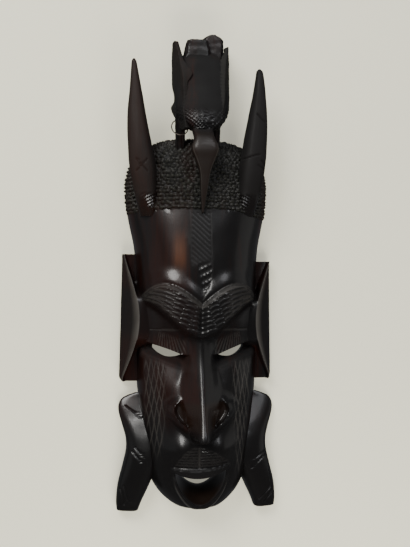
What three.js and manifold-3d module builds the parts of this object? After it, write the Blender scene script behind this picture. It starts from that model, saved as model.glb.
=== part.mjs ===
// A wall mask carved from one block of African blackwood: a long horned face with pierced eyes and an open
// mouth, and a long-billed bird on the crown whose bill rests on the hairline. A wire ring hangs on one leg.
// It lies on its back. X runs across the face, Y from chin to crown, Z out of the face. Millimetres.
import * as THREE from "three";
import { mergeVertices } from "three/addons/utils/BufferGeometryUtils.js";
import Module from "manifold-3d";

const wasm = await Module();
wasm.setup();

// The head: half a hollowed log, from the crown to the chin.
const CROWN_Y = 121.5;
const CHIN_Y = -210;
const FACE_ROWS_FROM_Y = 0;
const FACE_ROW_PITCH = 4.4;
const CROWN_ROW_PITCH = 9;
// The share of the columns that the arch takes is a whole number of them, so the rim behind is flat.
const HEAD_COLUMNS = 40;
const ARCH_SHARE = 34 / HEAD_COLUMNS;
const ARCH_POWER = 0.87;
const CROWN_ROUND = { from: 70, reach: 52.5, power: 2.6 };
const CHIN_ROUND = { from: -165, reach: 47, power: 2.1 };
const HEAD_HALF_WIDTH = [
  [-212, 46],
  [-165, 46.5],
  [-130, 50.5],
  [-100, 54],
  [-60, 55],
  [-15, 55],
  [21, 56.5],
  [54, 62.8],
  [80, 64.5],
  [122, 64.5],
];
const HEAD_HEIGHT = [
  [-212, 33],
  [-200, 40],
  [-170, 46.5],
  [-140, 47],
  [-100, 46],
  [-65, 45],
  [-40, 49],
  [-10, 53],
  [20, 52],
  [56, 48],
  [80, 43],
  [98, 36],
  [112, 27],
  [122, 16],
];

// The hair stands a little proud of the forehead above a straight hairline.
const HAIRLINE_Y = 55;
const HAIR_RAISE = 1.5;

// The hollow behind the face, and the wall that it leaves.
const WALL = 12;
const FACE_WALL = 15;
const HOLLOW_Y = [-198, 100];
const HOLLOW_BELOW = 6;

// Brows: two raised leaves that meet in a V over the nose.
const BROW_RAISE = 5;
const BROW_PEAK_U = 31;
const BROW_END_U = 54;
const BROW_TOP_Y = -7.5;
const BROW_TOP_DROP = 17.5;
const BROW_TAIL_DROP = 16;
const BROW_LOW_MID_Y = -41;
const BROW_LOW_SWING = 17.5;

// Eyes: a lid panel under each brow, and a slit that is pierced at its inner part.
const LID_OUTER = { u: 54.7, y: -59 };
const LID_REACH = 38;
const LID_DROP = 12;
const SOCKET_DEPTH = 5;
const SLIT_DEPTH = 8;
const SLIT_HEIGHT = 9;
const EYE_HOLE = [
  [16.5, -71],
  [25, -67.3],
  [33, -64.2],
  [41, -62.6],
  [40.5, -66],
  [36, -70.5],
  [29, -73.6],
  [21.5, -73.2],
];

// Nose: a straight ridge that rises to the tip, and a wing on each side with a deep groove between.
const NOSE_RAISE = [
  [-147, 29],
  [-138, 29.5],
  [-125, 25],
  [-103, 17],
  [-80, 9],
  [-58, 4],
  [-46, 0],
];
const NOSE_HALF_WIDTH = [
  [-147, 8],
  [-141, 9.5],
  [-132, 11.5],
  [-120, 15],
  [-103, 15.5],
  [-80, 12.5],
  [-58, 9],
];
const RIDGE_HALF_WIDTH = [
  [-147, 3.5],
  [-134, 4.6],
  [-120, 2.4],
  [-100, 1.2],
  [-58, 0.8],
];
const NOSE_UNDER_Y = [-147, -141.5];
const WING_RAISE = [
  [-143, 0],
  [-138, 9],
  [-131, 12],
  [-121, 10.5],
  [-112, 6],
  [-106, 0],
];
const WING_RIDGE = { u: 9.5, y: -135, slope: 14 / 23 };
const WING_OUT = 9;
const WING_IN = 5;

// Mouth: a D-shaped opening under the upper lip, with a lower lip that runs round it.
const MOUTH_Y = -174;
const MOUTH = { a: 22, b: 28 };
const LOWER_LIP = { a: 26, b: 35.5 };
const LIP_RAISE = 2.6;
const LIP_CORNER_U = 26;
const UPPER_LIP_LOW_Y = -177;
const UPPER_LIP_TOP_Y = -168.5;
const LIP_RISE = 7;
const MUZZLE = { u: 15, y: -148, a: 18, b: 14, raise: 4 };
const MOUTH_BACK = 0.57;
const MOUTH_FLOOR_Z = [21, 40];
const MOUTH_FRONT_Z = 62;
const MOUTH_STEPS = 14;

// Ears: long plates beside the head, with a bowed ridge and a pocket above and below.
const EARS = {
  left: { side: -1, top: 17.5, bottom: -97, end: 67.5, middle: 53.5, low: 70.5 },
  right: { side: 1, top: 11, bottom: -96, end: 68.5, middle: 52, low: 69.5 },
};
const EAR_RIDGE_Z = [14, 30];
const EAR_FLOOR_Z = 9;
const EAR_EDGE_Z = 4;
const EAR_INNER_U = 42;
const EAR_BACK_Z = 1.5;

// Lobes: long drops that flare out at the foot.
const LOBE_ROWS = [
  [-213, 53, 72.5],
  [-205, 50, 73],
  [-190, 43, 71.5],
  [-172, 36, 67],
  [-158, 36, 64],
  [-148, 36, 64.5],
  [-137, 36, 67.5],
  [-126, 36, 70.5],
  [-118, 36, 70.5],
  [-112, 36, 66],
  [-108.5, 36, 56],
];
const LOBE_HEIGHT = [
  [-213, 13],
  [-190, 17],
  [-150, 21],
  [-125, 22],
  [-108.5, 12],
];

// Horns: tapered tusks from the corners of the hairline. Each row is Y, centre X, centre Z, half width, half depth.
const HORNS = {
  left: {
    side: -1,
    rows: [
      [50, 45, 32, 7, 7],
      [60, 46, 36, 8.6, 8.5],
      [74, 48, 38, 9.8, 9.5],
      [92, 50, 38.5, 11.2, 10.5],
      [114, 52.8, 38, 9.9, 10],
      [136, 55, 37, 8, 8.5],
      [163, 56.2, 35, 4.6, 5.2],
      [180, 57.2, 34, 2.2, 2.6],
      [187.5, 57.5, 33.5, 0.9, 1],
    ],
  },
  right: {
    side: 1,
    rows: [
      [50, 40, 32, 7, 7],
      [60, 41.5, 36, 8.4, 8.5],
      [74, 43.5, 38, 9.6, 9.5],
      [92, 46, 38.5, 10.6, 10.5],
      [112, 48.5, 38, 10, 10],
      [135, 51, 37, 8.2, 8.5],
      [160, 53.2, 35, 5.2, 5.6],
      [176, 53.8, 34, 3.2, 3.4],
      [181.5, 53.6, 33.5, 2, 2],
    ],
  },
};

// Bird: it stands on the crown, tail up, and bends its neck so that the bill lies down over the hair.
const BIRD_X = 1.5;
const BIRD_BODY = [
  [124, 10, 44, 9, 8],
  [130, 17, 42, 12, 12],
  [140, 21, 39.5, 13, 14],
  [155, 22.5, 37, 12.5, 14.5],
  [175, 21, 34, 11, 13.5],
  [192, 18, 30, 9, 11],
  [200, 14, 28, 7, 9],
];
const BIRD_NECK = [
  [134, 1.5, 44, 11, 7],
  [123, 1.4, 50, 9, 7.5],
  [116, 1.8, 54, 8.8, 8],
  [106, 2.2, 55.5, 11.8, 8],
  [97, 2.4, 55.5, 8.6, 6.6],
  [87, 2.2, 55, 5, 5.2],
  [74, 1.6, 53.5, 3.3, 4],
  [62, 1.1, 51.5, 1.9, 2.8],
  [52.5, 0.8, 49.5, 0.9, 2.4],
];
const LEGS = [
  [
    [104, -16.5, 22, 5, 6],
    [116, -16.5, 26, 4.5, 5],
    [126, -16.8, 29, 4.5, 5],
    [140, -16.8, 34, 5, 6],
  ],
  [
    [104, 14.5, 22, 5, 6],
    [116, 14.5, 26, 4.5, 5],
    [126, 14.5, 29, 4.5, 5],
    [140, 14.5, 34, 5, 6],
  ],
];
// Each row of a wing is Y, then X and Z of its outer edge, its ridge and its inner edge.
const WING_LEFT = [
  [125.5, -16, 36, -13.4, 49, -9, 46],
  [140, -23, 28, -15.5, 48, -8, 46],
  [147, -25, 26, -15, 47, -7, 44],
  [153, -22, 25, -15, 46, -6, 43],
  [175, -24, 23, -17, 43, -7, 40],
  [190, -24, 23, -19, 39, -13.5, 36],
  [204, -23.6, 25, -22, 34, -18.5, 32],
];
const WING_RIGHT = [
  [125.5, 17, 36, 14.5, 49, 10, 46],
  [140, 26, 28, 19, 48, 11, 46],
  [153, 28, 26, 21, 46, 12, 43],
  [175, 28, 24, 22, 42, 15, 39],
  [190, 28, 24, 24, 38, 19, 35],
  [201, 27, 26, 26, 32, 24, 31],
];
const TAIL_BLOCKS = [
  { x: [-15, 12, -11, 8.5], y: [188, 206.3], z: [19, 34] },
  { x: [2, 23, 4, 22], y: [188, 213], z: [11, 27] },
];

// Wire: a ring round the bird's left leg. It leans, with its front part lower on the leg than its back part.
const WIRE_R = 0.5;
const WIRE_RING = { x: -17.2, y: 129, z: 30, across: 7.2, along: 8, deep: 7.2 };

const clamp01 = (t) => Math.min(1, Math.max(0, t));
const smooth = (from, to, t) => {
  const s = clamp01((t - from) / (to - from));
  return s * s * (3 - 2 * s);
};
const bump = (du, dy) => {
  const d = clamp01(1 - du * du - dy * dy);
  return d * d * (3 - 2 * d);
};

// A smooth curve through rows of numbers sorted by their first one. It returns every other column at y.
function through(rows, y) {
  const n = rows.length;
  const flip = rows[0][0] > rows[n - 1][0];
  const at = (i) => (flip ? rows[n - 1 - i] : rows[i]);
  let i = 0;
  while (i < n - 2 && y > at(i + 1)[0]) i++;
  const [a, b] = [at(i), at(i + 1)];
  const before = at(Math.max(0, i - 1));
  const after = at(Math.min(n - 1, i + 2));
  const step = b[0] - a[0];
  const t = clamp01((y - a[0]) / step);
  return a.slice(1).map((value, j) => {
    const k = j + 1;
    const m0 = ((b[k] - before[k]) / (b[0] - before[0])) * step;
    const m1 = ((after[k] - a[k]) / (after[0] - a[0])) * step;
    const t2 = t * t;
    const t3 = t2 * t;
    return (2 * t3 - 3 * t2 + 1) * value + (t3 - 2 * t2 + t) * m0 + (3 * t2 - 2 * t3) * b[k] + (t3 - t2) * m1;
  });
}

function roundEnd(y) {
  const top = (y - CROWN_ROUND.from) / CROWN_ROUND.reach;
  const low = (CHIN_ROUND.from - y) / CHIN_ROUND.reach;
  if (top > 0) return Math.pow(1 - Math.pow(top, CROWN_ROUND.power), 1 / CROWN_ROUND.power);
  if (low > 0) return Math.pow(1 - Math.pow(low, CHIN_ROUND.power), 1 / CHIN_ROUND.power);
  return 1;
}
const halfWidth = (y) => through(HEAD_HALF_WIDTH, y)[0] * roundEnd(y);
const height = (y) => through(HEAD_HEIGHT, y)[0];

const browTop = (u) =>
  u < BROW_PEAK_U
    ? BROW_TOP_Y - BROW_TOP_DROP * (1 - Math.sin((Math.PI / 2) * (u / BROW_PEAK_U)))
    : BROW_TOP_Y - BROW_TAIL_DROP * Math.pow((u - BROW_PEAK_U) / (BROW_END_U - BROW_PEAK_U), 2.4);
const browLow = (u) => BROW_LOW_MID_Y - BROW_LOW_SWING * Math.cos((Math.PI * u) / BROW_END_U);

function brow(u, y) {
  if (u > BROW_END_U) return 0;
  const low = browLow(u);
  const s = (y - low) / (browTop(u) - low);
  if (s <= 0 || s >= 1) return 0;
  const valley = 1 - 0.6 * Math.exp(-((u / 3) ** 2));
  return BROW_RAISE * smooth(0, 0.22, s) * smooth(1, 0.75, s) * valley * smooth(BROW_END_U, BROW_END_U - 12, u);
}

const lidEdge = (u) => LID_OUTER.y - LID_DROP * Math.pow(clamp01((LID_OUTER.u - u) / LID_REACH), 1.3);

function socket(u, y) {
  const inside = smooth(8, 16, u) * smooth(58, 44, u);
  const low = browLow(u);
  const edge = lidEdge(u);
  const lid = SOCKET_DEPTH * inside * smooth(low + 2, low - 4, y) * smooth(edge - 26, edge - 8, y);
  const slit = SLIT_DEPTH * inside * smooth(edge + 1, edge - 1, y) * smooth(edge - SLIT_HEIGHT - 5, edge - 3, y);
  return -lid - slit;
}

function nose(u, y) {
  const raise = through(NOSE_RAISE, y)[0] * smooth(NOSE_UNDER_Y[0], NOSE_UNDER_Y[1], y);
  if (y > NOSE_RAISE[NOSE_RAISE.length - 1][0]) return 0;
  const flat = through(RIDGE_HALF_WIDTH, y)[0];
  const run = Math.max(0, u - flat) / (through(NOSE_HALF_WIDTH, y)[0] - flat);
  return Math.max(0, raise * (1 - run));
}

function wing(u, y) {
  const raise = Math.max(0, through(WING_RAISE, y)[0]);
  const d = u - (WING_RIDGE.u + (y - WING_RIDGE.y) * WING_RIDGE.slope);
  return d > 0 ? raise * Math.sqrt(clamp01(1 - (d / WING_OUT) ** 2)) : raise * clamp01(1 + d / WING_IN);
}

function muzzle(u, y) {
  return MUZZLE.raise * bump((u - MUZZLE.u) / MUZZLE.a, (y - MUZZLE.y) / MUZZLE.b);
}

const upperLipLow = (x) => UPPER_LIP_LOW_Y + LIP_RISE * (x / LIP_CORNER_U) ** 2;

function lips(u, y) {
  const bow = (u / LIP_CORNER_U) ** 2;
  const low = upperLipLow(u);
  const s = clamp01((y - low) / (UPPER_LIP_TOP_Y - 1.5 * bow - low));
  const upper = u < LIP_CORNER_U ? Math.sqrt(4 * s * (1 - s)) : 0;
  const inner = Math.hypot(u / MOUTH.a, (y - MOUTH_Y) / MOUTH.b);
  const outer = Math.hypot(u / LOWER_LIP.a, (y - MOUTH_Y) / LOWER_LIP.b);
  const lower = y < MOUTH_Y && outer < 1 ? smooth(0.9, 1, inner) * smooth(1, 0.88, outer) : 0;
  return LIP_RAISE * Math.max(upper, lower);
}

const hair = (y) => HAIR_RAISE * smooth(HAIRLINE_Y - 2, HAIRLINE_Y + 4, y);

const relief = (u, y) =>
  brow(u, y) + socket(u, y) + Math.max(nose(u, y), wing(u, y)) + muzzle(u, y) + lips(u, y) + hair(y);

// A closed mesh as a solid that can be joined and cut.
function solid(geometry) {
  const bare = geometry.index ? geometry.toNonIndexed() : geometry.clone();
  bare.deleteAttribute("normal");
  bare.deleteAttribute("uv");
  const merged = mergeVertices(bare, 1e-4);
  return new wasm.Manifold(
    new wasm.Mesh({
      numProp: 3,
      vertProperties: merged.attributes.position.array,
      triVerts: new Uint32Array(merged.index.array),
    }),
  );
}

// A capped tube whose wall is placed by a function of the angle round it, from the front, and the share along it.
// Each of its quads is split along the shorter diagonal, so that carved edges run clean.
function tube(columns, rows, place) {
  const geometry = new THREE.CylinderGeometry(1, 1, 1, columns, rows);
  const position = geometry.attributes.position;
  for (let i = 0; i < position.count; i++) {
    const [x, z] = [position.getX(i), position.getZ(i)];
    const [px, py, pz] = place(Math.atan2(x, z), position.getY(i) + 0.5, Math.min(1, Math.hypot(x, z)));
    position.setXYZ(i, px, py, pz);
  }
  const corner = (i) => new THREE.Vector3().fromBufferAttribute(position, i);
  const index = geometry.index.array;
  for (let quad = 0; quad < 6 * columns * rows; quad += 6) {
    const [a, b, d, , c] = index.slice(quad, quad + 6);
    if (corner(a).distanceTo(corner(c)) < corner(b).distanceTo(corner(d))) index.set([a, b, c, a, c, d], quad);
  }
  return geometry;
}

// A tube along Y through rows of Y, centre X, centre Z, half width and half depth.
function limb(columns, steps, rows, side = 1) {
  const [from, to] = [rows[0][0], rows[rows.length - 1][0]];
  const [low, high] = [Math.min(from, to), Math.max(from, to)];
  return tube(columns, steps, (angle, share, out) => {
    const y = low + (high - low) * share;
    const [cx, cz, rx, rz] = through(rows, y);
    return [side * (cx + side * rx * out * Math.sin(angle)), y, cz + rz * out * Math.cos(angle)];
  });
}

// A solid skinned over rows of Y and a closed outline of X, Z pairs, given anticlockwise seen from +Y.
function skin(steps, rows, outline) {
  const [low, high] = [rows[0][0], rows[rows.length - 1][0]];
  const count = outline(low).length;
  return tube(count, steps, (angle, share, out) => {
    const y = low + (high - low) * share;
    const points = outline(y);
    const index = Math.round(((angle / (2 * Math.PI)) * count + count) % count) % count;
    const mid = points.reduce(([a, b], [x, z]) => [a + x / count, b + z / count], [0, 0]);
    const [x, z] = points[index];
    return [mid[0] + (x - mid[0]) * out, y, mid[1] + (z - mid[1]) * out];
  });
}

function headSolid() {
  const faceRows = Math.round((FACE_ROWS_FROM_Y - CHIN_Y) / FACE_ROW_PITCH);
  const crownRows = Math.round((CROWN_Y - FACE_ROWS_FROM_Y) / CROWN_ROW_PITCH);
  const rows = faceRows + crownRows;
  const rowY = (share) => {
    const row = share * rows;
    if (row < faceRows) return CHIN_Y + ((FACE_ROWS_FROM_Y - CHIN_Y) * row) / faceRows;
    return FACE_ROWS_FROM_Y + ((CROWN_Y - FACE_ROWS_FROM_Y) * (row - faceRows)) / crownRows;
  };
  return solid(
    tube(HEAD_COLUMNS, rows, (angle, share, out) => {
      const y = rowY(share);
      const turn = Math.abs(angle) / Math.PI / ARCH_SHARE;
      const side = Math.sign(angle);
      const [w, h] = [halfWidth(y), height(y)];
      if (turn > 1) return [side * w * out * (1 - ((turn - 1) * ARCH_SHARE) / (1 - ARCH_SHARE)), y, 0.3 * h * (1 - out)];
      const lean = (Math.PI / 2) * turn;
      const u = w * Math.pow(Math.sin(lean), ARCH_POWER);
      const dome = h * Math.pow(Math.max(0, Math.cos(lean)), ARCH_POWER);
      const z = dome + relief(u, y) * smooth(0, 12, dome);
      return [side * u * out, y, z * out + 0.3 * h * (1 - out)];
    }),
  );
}

function hollowSolid() {
  const [low, high] = HOLLOW_Y;
  return solid(
    tube(20, 16, (angle, share, out) => {
      const y = low + (high - low) * share;
      const taper = Math.sqrt(Math.sqrt(clamp01(4 * (share + 0.004) * (1.004 - share))));
      const w = (halfWidth(y) - WALL) * taper;
      const h = (height(y) - FACE_WALL) * taper;
      const [x, z] = [Math.sin(angle), Math.cos(angle)];
      return [w * out * x, y, z > 0 ? h * out * z : -HOLLOW_BELOW * Math.min(1, 4 * out * -z)];
    }),
  );
}

function eyeSolid(side) {
  const outline = new THREE.Shape(EYE_HOLE.map(([u, y]) => new THREE.Vector2(side * u, y)));
  return solid(new THREE.ExtrudeGeometry(outline, { depth: 80, bevelEnabled: false }));
}

function mouthSolid() {
  const points = [];
  for (let i = 0; i <= MOUTH_STEPS; i++) {
    const turn = Math.PI * (1 + i / MOUTH_STEPS);
    points.push(new THREE.Vector2(MOUTH.a * Math.cos(turn), MOUTH.b * Math.sin(turn)));
  }
  for (let i = 0; i <= MOUTH_STEPS; i++) {
    const x = MOUTH.a * (1 - (2 * i) / MOUTH_STEPS);
    points.push(new THREE.Vector2(x, upperLipLow(x) - MOUTH_Y));
  }
  const outline = new THREE.Shape(points);
  const geometry = new THREE.ExtrudeGeometry(outline, { depth: MOUTH_FRONT_Z, steps: 11, bevelEnabled: false });
  const position = geometry.attributes.position;
  for (let i = 0; i < position.count; i++) {
    const share = clamp01((position.getZ(i) - MOUTH_FLOOR_Z[0]) / (MOUTH_FLOOR_Z[1] - MOUTH_FLOOR_Z[0]));
    const y = position.getY(i);
    position.setX(i, position.getX(i) * (0.85 + 0.15 * share));
    position.setY(i, y < 0 ? y * (MOUTH_BACK + (1 - MOUTH_BACK) * share) : y);
  }
  return solid(geometry.translate(0, MOUTH_Y, 0));
}

function earSolid({ side, top, bottom, end, middle, low }) {
  const rows = [[bottom], [top]];
  const outline = (y) => {
    const share = clamp01((y - bottom) / (top - bottom));
    const bow = Math.pow(Math.sin(Math.PI * clamp01(share * 0.96 + 0.02)), 1.15);
    const edge = low + (end - low) * share;
    const ridgeU = edge - 1 - (edge - 1 - middle) * bow;
    const ridgeZ = EAR_RIDGE_Z[0] + (EAR_RIDGE_Z[1] - EAR_RIDGE_Z[0]) * bow;
    const closed = smooth(0.62, 0.9, bow);
    const floor = EAR_FLOOR_Z + (ridgeZ - EAR_FLOOR_Z) * closed;
    const points = [
      [EAR_INNER_U, floor],
      [ridgeU - 2, floor],
      [ridgeU, ridgeZ],
      [edge, EAR_EDGE_Z],
      [edge - 1, EAR_BACK_Z],
      [EAR_INNER_U, EAR_BACK_Z],
    ];
    return side > 0 ? points : points.map(([u, z]) => [-u, z]).reverse();
  };
  return solid(skin(14, rows, outline));
}

function lobeSolid(side) {
  const [low, high] = [LOBE_ROWS[0][0], LOBE_ROWS[LOBE_ROWS.length - 1][0]];
  return solid(
    tube(12, 16, (angle, share, out) => {
      const y = low + (high - low) * share;
      const [inner, outer] = through(LOBE_ROWS, y);
      const [thick] = through(LOBE_HEIGHT, y);
      const [s, c] = [Math.sin(angle), Math.cos(angle)];
      const x = side * ((inner + outer) / 2) + ((outer - inner) / 2) * out * Math.sign(s) * Math.pow(Math.abs(s), 0.7);
      return [x, y, c > 0 ? 4 + (thick - 4) * out * Math.pow(c, 0.7) : 4 + 4 * out * Math.max(-1, 2.2 * c)];
    }),
  );
}

function wingSolid(rows) {
  const outline = (y) => {
    const [ax, az, bx, bz, cx, cz] = through(rows, y);
    const inward = Math.sign(cx - ax);
    const points = [
      [cx, cz],
      [bx, bz],
      [ax, az],
      [ax + inward * 5, az - 1],
    ];
    return inward > 0 ? points.reverse() : points;
  };
  return solid(skin(10, rows, outline));
}

function tailSolid({ x, y, z }) {
  const rows = [[y[0]], [y[1]]];
  const outline = (at) => {
    const share = (at - y[0]) / (y[1] - y[0]);
    const [left, right] = [x[0] + (x[2] - x[0]) * share, x[1] + (x[3] - x[1]) * share];
    return [
      [right - 3, z[1]],
      [right, z[1] - 4],
      [right, z[0] + 3],
      [right - 3, z[0]],
      [left + 3, z[0]],
      [left, z[0] + 3],
      [left, z[1] - 4],
      [left + 3, z[1]],
    ];
  };
  return solid(skin(2, rows, outline));
}

function wireGeometry() {
  const { x, y, z, across, along, deep } = WIRE_RING;
  const reach = Math.hypot(along, deep);
  const ring = new THREE.TorusGeometry(reach, WIRE_R, 6, 28);
  const position = ring.attributes.position;
  for (let i = 0; i < position.count; i++) {
    const [px, py] = [position.getX(i), position.getY(i)];
    const turn = Math.atan2(py, px);
    const out = new THREE.Vector2(Math.cos(turn) / across, Math.sin(turn) / reach);
    out.setLength(Math.hypot(px, py) - reach);
    position.setX(i, across * Math.cos(turn) + out.x);
    position.setY(i, reach * Math.sin(turn) + out.y);
  }
  return ring.rotateX(-Math.atan2(deep, along)).translate(x, y, z);
}

function maskGeometry() {
  let carved = headSolid();
  for (const side of [-1, 1]) carved = carved.add(lobeSolid(side));
  for (const ear of Object.values(EARS)) carved = carved.add(earSolid(ear));
  carved = carved.subtract(hollowSolid());
  for (const side of [-1, 1]) carved = carved.subtract(eyeSolid(side));
  carved = carved.subtract(mouthSolid());
  for (const horn of Object.values(HORNS)) carved = carved.add(solid(limb(10, 12, horn.rows, horn.side)));
  const bird = BIRD_BODY.map(([y, rx, cz, front, back]) => [y, BIRD_X, cz + (front - back) / 2, rx, (front + back) / 2]);
  carved = carved.add(solid(limb(12, 11, bird)));
  carved = carved.add(solid(limb(10, 15, BIRD_NECK)));
  for (const leg of LEGS) carved = carved.add(solid(limb(8, 4, leg)));
  for (const rows of [WING_LEFT, WING_RIGHT]) carved = carved.add(wingSolid(rows));
  for (const block of TAIL_BLOCKS) carved = carved.add(tailSolid(block));
  const { vertProperties, triVerts } = carved.getMesh();
  const geometry = new THREE.BufferGeometry();
  geometry.setAttribute("position", new THREE.BufferAttribute(vertProperties, 3));
  geometry.setIndex(new THREE.BufferAttribute(triVerts, 1));
  geometry.computeVertexNormals();
  return geometry;
}

function named(name, geometry, color, roughness, metalness) {
  const mesh = new THREE.Mesh(geometry, new THREE.MeshStandardMaterial({ color, roughness, metalness }));
  mesh.name = name;
  return mesh;
}

const group = new THREE.Group();
group.add(named("mask", maskGeometry(), 0x17100e, 0.3, 0));
group.add(named("hanging_wire", wireGeometry(), 0x1a1714, 0.5, 0.8));

export default group;
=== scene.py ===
# A wall mask carved from one block of African blackwood, lying on its back: a long horned face with pierced
# eyes and an open mouth, and a long-billed bird on the crown. A wire ring hangs on the bird's left leg.
# X runs across the face, Y from chin to crown, Z out of the face. The carving is worked out in millimetres.
import math

import bmesh
import bpy
from mathutils import Matrix, Vector, noise


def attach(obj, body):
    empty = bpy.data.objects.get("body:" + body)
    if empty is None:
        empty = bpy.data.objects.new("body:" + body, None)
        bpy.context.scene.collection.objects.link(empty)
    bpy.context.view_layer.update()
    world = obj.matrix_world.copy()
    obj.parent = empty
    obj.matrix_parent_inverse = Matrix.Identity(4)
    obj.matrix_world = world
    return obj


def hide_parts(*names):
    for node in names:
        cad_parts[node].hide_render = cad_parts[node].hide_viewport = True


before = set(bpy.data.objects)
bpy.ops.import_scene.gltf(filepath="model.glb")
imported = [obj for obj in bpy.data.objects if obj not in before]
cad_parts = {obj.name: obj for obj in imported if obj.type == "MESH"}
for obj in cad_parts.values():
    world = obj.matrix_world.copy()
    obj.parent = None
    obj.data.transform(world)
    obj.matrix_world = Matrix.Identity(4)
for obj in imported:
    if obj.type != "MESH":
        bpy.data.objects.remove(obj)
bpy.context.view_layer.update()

# The head: half a log, rounded off at the crown and the chin. Its front is a flat sheet of small squares that
# is cut finer where the carving is fine, then bent over the arch of the face. A flat rim closes it behind.
MM = 0.001
CROWN_Y = 121.5
CHIN_Y = -210.0
END_ROLL = 5.0
CHIN_SPAN = 22.0
CROWN_SPAN = 12.0
SQUARE = 3.16
ARCH_LENGTH = 172.0
ARCH_POWER = 0.87
ROUND_ENDS = [{"start": 70.0, "reach": 52.5, "power": 2.6}, {"start": -165.0, "reach": -47.0, "power": 2.1}]
HEAD_HALF_WIDTH = [
    (-212, 46), (-165, 46.5), (-130, 50.5), (-100, 54), (-60, 55),
    (-15, 55), (21, 56.5), (54, 62.8), (80, 64.5), (122, 64.5),
]
HEAD_HEIGHT = [
    (-212, 33), (-200, 40), (-170, 46.5), (-140, 47), (-100, 46), (-65, 45), (-40, 49),
    (-10, 53), (20, 52), (56, 48), (80, 43), (98, 36), (112, 27), (122, 16),
]


def share_of(start, end, value):
    return min(1.0, max(0.0, (value - start) / (end - start)))


def smooth(start, end, value):
    share = share_of(start, end, value)
    return share * share * (3 - 2 * share)


def through(rows, y):
    """A smooth curve through rows of numbers sorted by their first one: every other number of a row, at y."""
    last = len(rows) - 1
    i = 0
    while i < last - 1 and y > rows[i + 1][0]:
        i += 1
    a, b = rows[i], rows[i + 1]
    before, after = rows[max(0, i - 1)], rows[min(last, i + 2)]
    step = b[0] - a[0]
    t = share_of(a[0], b[0], y)
    t2, t3 = t * t, t * t * t
    found = []
    for k in range(1, len(a)):
        slope_a = (b[k] - before[k]) / (b[0] - before[0]) * step
        slope_b = (after[k] - a[k]) / (after[0] - a[0]) * step
        from_a = (2 * t3 - 3 * t2 + 1) * a[k] + (t3 - 2 * t2 + t) * slope_a
        found.append(from_a + (3 * t2 - 2 * t3) * b[k] + (t3 - t2) * slope_b)
    return found


def half_width(y):
    wide = through(HEAD_HALF_WIDTH, y)[0]
    for end in ROUND_ENDS:
        past = (y - end["start"]) / end["reach"]
        if past > 0:
            wide *= (1 - min(1, past) ** end["power"]) ** (1 / end["power"])
    return wide


def height(y):
    return through(HEAD_HEIGHT, y)[0]


def rolled(along):
    """Y, and the share of the height that is left, where the sheet turns down over the chin and the crown."""
    if along < CHIN_Y + END_ROLL:
        turn = math.pi / 2 * (CHIN_Y + END_ROLL - along) / (END_ROLL + CHIN_SPAN)
        return CHIN_Y + END_ROLL * (1 - math.sin(turn)), max(0.0, math.cos(turn))
    if along > CROWN_Y - END_ROLL:
        turn = math.pi / 2 * (along - CROWN_Y + END_ROLL) / (END_ROLL + CROWN_SPAN)
        return CROWN_Y - END_ROLL * (1 - math.sin(turn)), max(0.0, math.cos(turn))
    return along, 1.0


# The brows: two raised leaves that meet in a V over the nose. Each is cross-hatched with a knife, along the
# leaf and level across it, inside two lines that follow its upper edge.
BROW_RAISE = 5.0
BROW_PEAK_U = 31.0
BROW_END_U = 54.0
BROW_TOP_Y = -7.5
BROW_TOP_DROP = 17.5
BROW_TAIL_DROP = 16.0
BROW_LOW_MID_Y = -41.0
BROW_LOW_SWING = 17.5
BROW_LINES = 8.0
BROW_HATCH_PITCH = 4.1
BROW_HATCH_TILT = 0.2
BROW_BORDERS = [1.3, 3.0]
BROW_CUT = 0.75
BROW_BORDER_SHARE = 0.75
BROW_CUT_HALF = {"border": 0.65, "along": 0.24, "across": 0.85}
BROW_FOOT = {"raise": 3.2, "reach": 14.0}
BROW_FADE = 12.0
BROW_SHOULDERS = (0.16, 0.82)
BROW_VALLEY = {"deep": 0.6, "half": 3.0}


def brow_top(u):
    if u < BROW_PEAK_U:
        return BROW_TOP_Y - BROW_TOP_DROP * (1 - math.sin(math.pi / 2 * u / BROW_PEAK_U))
    return BROW_TOP_Y - BROW_TAIL_DROP * share_of(BROW_PEAK_U, BROW_END_U, u) ** 2.4


def brow_low(u):
    return BROW_LOW_MID_Y - BROW_LOW_SWING * math.cos(math.pi * u / BROW_END_U)


def brow(u, y):
    if u > BROW_END_U:
        return 0.0
    low, top = brow_low(u), brow_top(u)
    s = (y - low) / (top - low)
    ends = smooth(BROW_END_U, BROW_END_U - BROW_FADE, u)
    foot = BROW_FOOT["raise"] * smooth(top + BROW_FOOT["reach"], top, y) * smooth(low - 1, low + 6, y)
    if s <= 0 or s >= 1:
        return foot * ends
    valley = 1 - BROW_VALLEY["deep"] * math.exp(-((u / BROW_VALLEY["half"]) ** 2))
    leaf = BROW_RAISE * smooth(0, BROW_SHOULDERS[0], s) * smooth(1, BROW_SHOULDERS[1], s) * valley
    return (foot + leaf) * ends


def groove(distance, half):
    """The share of full depth of a knife cut, at a distance from its middle line."""
    return max(0.0, 1 - (distance / half) ** 2)


def hatch(value, pitch, half):
    """The share of full depth of a row of knife cuts that stand a pitch apart."""
    return groove(((value / pitch + 0.5) % 1 - 0.5) * pitch, half)


def brow_cuts(u, y):
    if u > BROW_END_U - 1:
        return 0.0
    low = brow_low(u)
    wide = brow_top(u) - low
    s = (y - low) / wide
    if s <= 0.02 or s >= 1:
        return 0.0
    border = max(groove((1 - s) * wide - at, BROW_CUT_HALF["border"]) for at in BROW_BORDERS)
    inside = smooth(0.1, 0.16, s) * smooth(BROW_BORDERS[1], BROW_BORDERS[1] + 1, (1 - s) * wide)
    along = hatch(s * BROW_LINES, 1, BROW_CUT_HALF["along"])
    across = hatch(y - BROW_HATCH_TILT * u, BROW_HATCH_PITCH, BROW_CUT_HALF["across"])
    return -BROW_CUT * max(BROW_BORDER_SHARE * border, inside * max(along, across))


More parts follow.
